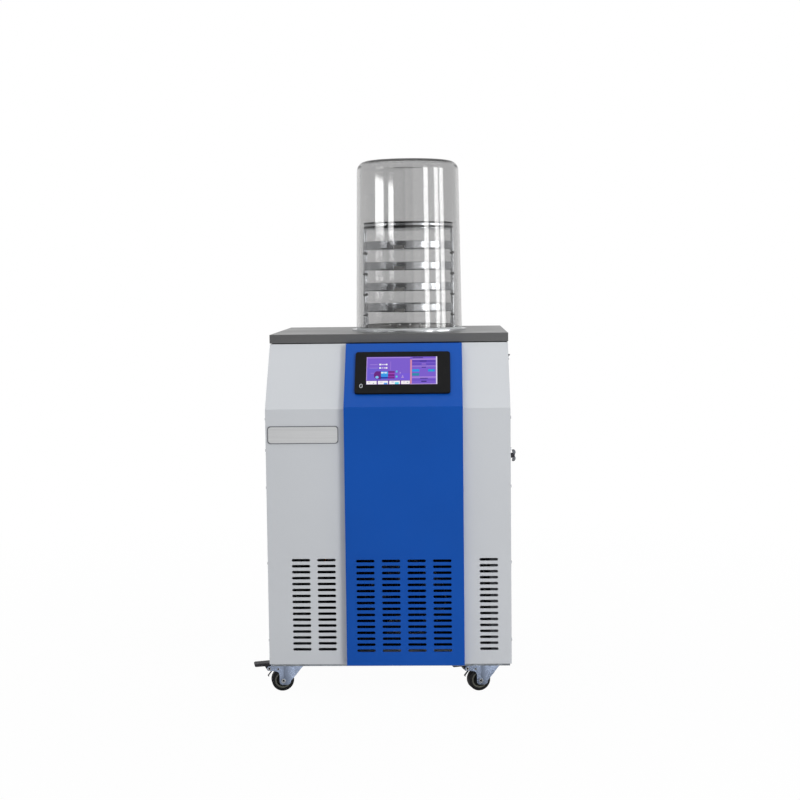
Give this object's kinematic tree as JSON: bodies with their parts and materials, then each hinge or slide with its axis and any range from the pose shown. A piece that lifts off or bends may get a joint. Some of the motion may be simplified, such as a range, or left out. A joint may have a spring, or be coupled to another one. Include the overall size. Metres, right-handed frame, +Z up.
{
  "type": "freeze dryer",
  "caption": "Floor-standing laboratory freeze dryer: cabinet on swivel casters with a sloping touch screen, and a clear bell chamber over stacked trays.",
  "frame": {"origin": "on the floor, under the middle of the whole outline", "axes": "+Z up, -Y towards the front (the touch screen), +X to the right seen from the front"},
  "size_m": [0.6906, 0.719, 1.3875],
  "materials": {
    "white_paint": "fine-textured powder coat, satin",
    "blue_paint": "fine-textured powder coat, satin",
    "worktop": "solid grey laminate, satin",
    "black_rubber": "matt",
    "silicone": "moulded silicone, satin",
    "brushed_plate": "brushed, bare",
    "black_plastic": "fine moulded texture",
    "display": "lit screen behind a gloss film",
    "stainless": "brushed stainless steel",
    "satin_steel": "bead-blasted stainless steel",
    "bright_metal": "bright nickel plate",
    "clear_acrylic": "clear polished acrylic",
    "foam": "rigid insulating foam",
    "copper": "drawn copper tube",
    "black_enamel": "gloss black enamel",
    "galvanised": "galvanised sheet",
    "frame_paint": "grey primer",
    "zinc_plate": "bright zinc plate",
    "grey_plastic": "moulded polypropylene",
    "tyre_rubber": "moulded rubber",
    "pedal_plastic": "moulded nylon"
  },
  "bodies": {
    "cabinet": {"front_panel_left": "white_paint", "front_panel_right": "white_paint", "side_panel_left": "white_paint", "side_panel_right": "white_paint", "rear_panel": "white_paint", "blue_panel": "blue_paint", "worktop": "worktop", "worktop_gasket": "black_rubber", "chamber_seal": "silicone", "badge_plate": "brushed_plate", "screen_housing": "black_plastic", "power_switch": "black_plastic", "power_inlet": "black_plastic", "fan_shroud": "black_plastic", "screen_display": "display", "rack_base": "satin_steel", "cold_trap": "stainless", "rack_rods": "stainless", "rack_top_plate": "stainless", "tray_1": "stainless", "tray_2": "stainless", "tray_3": "stainless", "tray_4": "stainless", "vacuum_line": "stainless", "vent_valve": "stainless", "usb_port": "bright_metal", "panel_screws": "bright_metal", "bell_jar": "clear_acrylic", "trap_insulation": "foam", "evaporator_coil": "copper", "refrigerant_pipes": "copper", "compressor": "black_enamel", "condenser": "black_enamel", "floor_pan": "galvanised", "control_box": "galvanised", "fan_motor": "galvanised", "frame_posts": "frame_paint", "frame_rails": "frame_paint", "caster_plates": "zinc_plate"},
    "condenser_fan": {"fan_blades": "black_plastic"},
    "power_rocker": {"power_rocker": "black_plastic"},
    "vent_handle": {"vent_handle": "stainless"},
    "swivel_front_left": {"fork_front_left": "zinc_plate", "axle_front_left": "bright_metal"},
    "wheel_front_left": {"hub_front_left": "grey_plastic", "tyre_front_left": "tyre_rubber"},
    "swivel_front_right": {"fork_front_right": "zinc_plate", "axle_front_right": "bright_metal"},
    "wheel_front_right": {"hub_front_right": "grey_plastic", "tyre_front_right": "tyre_rubber"},
    "swivel_rear_left": {"fork_rear_left": "zinc_plate", "axle_rear_left": "bright_metal"},
    "wheel_rear_left": {"hub_rear_left": "grey_plastic", "tyre_rear_left": "tyre_rubber"},
    "swivel_rear_right": {"fork_rear_right": "zinc_plate", "axle_rear_right": "bright_metal"},
    "wheel_rear_right": {"hub_rear_right": "grey_plastic", "tyre_rear_right": "tyre_rubber"},
    "brake_front_left": {"pedal_front_left": "pedal_plastic"},
    "brake_front_right": {"pedal_front_right": "pedal_plastic"}
  },
  "joints": [
    {"name": "swivel_front_left", "type": "hinge", "parent": "cabinet", "child": "swivel_front_left", "pos_m": [-0.24167, -0.2715, 0.07], "axis": [0, 0, 1], "continuous": true},
    {"name": "roll_front_left", "type": "hinge", "parent": "swivel_front_left", "child": "wheel_front_left", "pos_m": [-0.27101, -0.27774, 0.029], "axis": [-0.2079, 0.9781, 0], "continuous": true},
    {"name": "swivel_front_right", "type": "hinge", "parent": "cabinet", "child": "swivel_front_right", "pos_m": [0.26833, -0.2715, 0.07], "axis": [0, 0, 1], "continuous": true},
    {"name": "roll_front_right", "type": "hinge", "parent": "swivel_front_right", "child": "wheel_front_right", "pos_m": [0.23964, -0.28027, 0.029], "axis": [-0.2924, 0.9563, 0], "continuous": true},
    {"name": "swivel_rear_left", "type": "hinge", "parent": "cabinet", "child": "swivel_rear_left", "pos_m": [-0.24167, 0.2595, 0.07], "axis": [0, 0, 1], "continuous": true},
    {"name": "roll_rear_left", "type": "hinge", "parent": "swivel_rear_left", "child": "wheel_rear_left", "pos_m": [-0.27167, 0.2595, 0.029], "axis": [0, 1, 0], "continuous": true},
    {"name": "swivel_rear_right", "type": "hinge", "parent": "cabinet", "child": "swivel_rear_right", "pos_m": [0.26833, 0.2595, 0.07], "axis": [0, 0, 1], "continuous": true},
    {"name": "roll_rear_right", "type": "hinge", "parent": "swivel_rear_right", "child": "wheel_rear_right", "pos_m": [0.23833, 0.2595, 0.029], "axis": [0, 1, 0], "continuous": true},
    {"name": "brake_front_left", "type": "hinge", "parent": "swivel_front_left", "child": "brake_front_left", "pos_m": [-0.30623, -0.28522, 0.063], "axis": [0.2079, -0.9781, 0], "range_deg": [0, 22]},
    {"name": "brake_front_right", "type": "hinge", "parent": "swivel_front_right", "child": "brake_front_right", "pos_m": [0.20521, -0.2908, 0.063], "axis": [0.2924, -0.9563, 0], "range_deg": [0, 22]},
    {"name": "vent_turn", "type": "hinge", "parent": "cabinet", "child": "vent_handle", "pos_m": [0.33833, -0.1435, 0.596], "axis": [1, 0, 0], "range_deg": [0, 90]},
    {"name": "power_rock", "type": "hinge", "parent": "cabinet", "child": "power_rocker", "pos_m": [0.32233, -0.1435, 0.859], "axis": [0, -1, 0], "range_deg": [0, 20]},
    {"name": "fan_spin", "type": "hinge", "parent": "cabinet", "child": "condenser_fan", "pos_m": [0.05333, -0.2165, 0.231], "axis": [0, 1, 0], "continuous": true}
  ]
}
